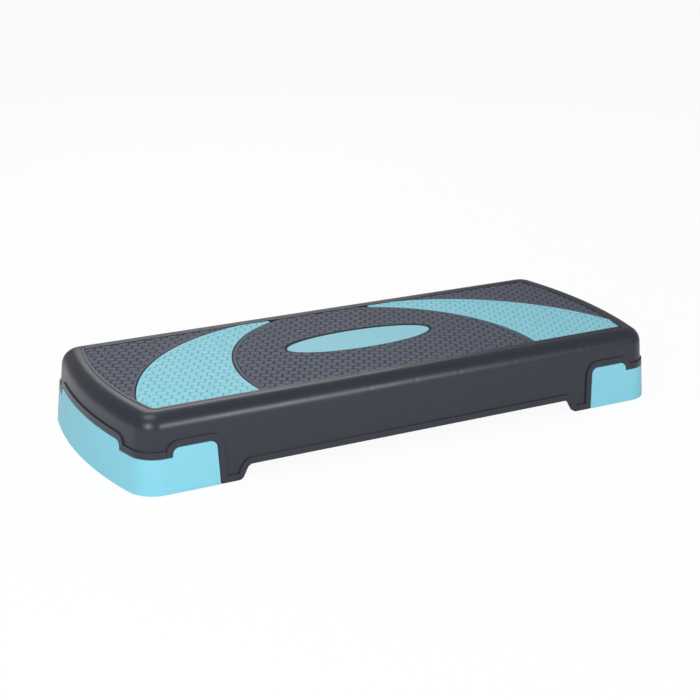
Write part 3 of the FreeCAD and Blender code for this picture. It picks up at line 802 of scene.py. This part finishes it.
class STEP_OT_stage(bpy.types.Operator):
    """Make the white floor, the soft lights and the photograph's camera"""
    bl_idname = "step.stage"
    bl_label = "Stage"

    def execute(self, context):
        scene = context.scene
        scene.view_settings.view_transform = "Standard"
        self.floor(scene)
        self.lights(scene)
        self.camera(scene)
        return {"FINISHED"}

    def floor(self, scene):
        """The plain floor that the step stands on."""
        bm = bmesh.new()
        bmesh.ops.create_grid(bm, x_segments=1, y_segments=1, size=FLOOR_HALF_SIZE)
        mesh = bpy.data.meshes.new("floor")
        bm.to_mesh(mesh)
        bm.free()
        floor = bpy.data.objects.new("floor", mesh)
        scene.collection.objects.link(floor)
        material, tree, output = new_material("painted_floor_white")
        paint = add_node(tree, "ShaderNodeBsdfDiffuse", {"Color": scaled(scene.step_colours.floor, 1)})
        shown = shown_white(tree, paint, *FLOOR_WHITE)
        tree.links.new(shown.outputs[0], output.inputs["Surface"])
        mesh.materials.append(material)

    def lights(self, scene):
        """The sky and the soft lights."""
        world = bpy.data.worlds.new("studio")
        world.use_nodes = True
        scene.world = world
        tree = world.node_tree
        tree.nodes.clear()
        output = add_node(tree, "ShaderNodeOutputWorld")
        sky = add_node(tree, "ShaderNodeBackground", {"Color": (1, 1, 1, 1), "Strength": SKY_STRENGTH})
        shown = shown_white(tree, sky, *SKY_WHITE)
        tree.links.new(shown.outputs[0], output.inputs["Surface"])
        for name, place, width, height, power in SOFTBOXES:
            area_light(name, place, LIGHT_AIM, width, height, power)

    def camera(self, scene):
        """The photograph's camera."""
        flat = math.cos(CAMERA_ELEVATION)
        back = Vector((math.sin(CAMERA_AZIMUTH) * flat, -math.cos(CAMERA_AZIMUTH) * flat,
                       math.sin(CAMERA_ELEVATION)))
        level = Vector((0, 0, 1)).cross(back).normalized()
        upright = back.cross(level)
        right = math.cos(CAMERA_ROLL) * level + math.sin(CAMERA_ROLL) * upright
        up = back.cross(right)
        camera = bpy.data.cameras.new("camera")
        camera.sensor_width = SENSOR_WIDTH
        camera.lens = FOCAL_PIXELS / IMAGE_PIXELS * SENSOR_WIDTH
        rig = bpy.data.objects.new("camera", camera)
        scene.collection.objects.link(rig)
        turn = Matrix((right, up, back)).transposed().to_4x4()
        rig.matrix_world = Matrix.Translation(CAMERA_TARGET + back * CAMERA_DISTANCE) @ turn
        scene.camera = rig


class STEP_PT_panel(bpy.types.Panel):
    """Lists the settings and the pieces of the step"""
    bl_idname = "STEP_PT_panel"
    bl_label = "Aerobic step"
    bl_space_type = "VIEW_3D"
    bl_region_type = "UI"
    bl_category = "Step"

    def draw(self, context):
        """Shows every setting and a button for each group of pieces."""
        for group in (context.scene.step_studs, context.scene.step_edges, context.scene.step_colours):
            for name in group.__annotations__:
                self.layout.prop(group, name)
        for operator in OPERATORS:
            self.layout.operator(operator.bl_idname)


GROUPS = {"step_studs": StepStudSizes, "step_edges": StepEdgeSizes, "step_colours": StepColours}
OPERATORS = (STEP_OT_deck, STEP_OT_risers, STEP_OT_treads, STEP_OT_badge, STEP_OT_feet, STEP_OT_stage)


def register():
    """Adds the settings, the operators and the panel."""
    for name, group in GROUPS.items():
        bpy.utils.register_class(group)
        setattr(bpy.types.Scene, name, bpy.props.PointerProperty(type=group))
    for cls in (*OPERATORS, STEP_PT_panel):
        bpy.utils.register_class(cls)


def unregister():
    """Takes the settings, the operators and the panel away again."""
    for cls in (STEP_PT_panel, *reversed(OPERATORS)):
        bpy.utils.unregister_class(cls)
    for name, group in GROUPS.items():
        delattr(bpy.types.Scene, name)
        bpy.utils.unregister_class(group)


def main():
    """Builds the whole step."""
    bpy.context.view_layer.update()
    register()
    bpy.ops.step.deck()
    bpy.ops.step.risers()
    bpy.ops.step.treads()
    bpy.ops.step.badge()
    bpy.ops.step.feet()
    bpy.ops.step.stage()
    bpy.context.view_layer.update()


if __name__ == "__main__":
    main()
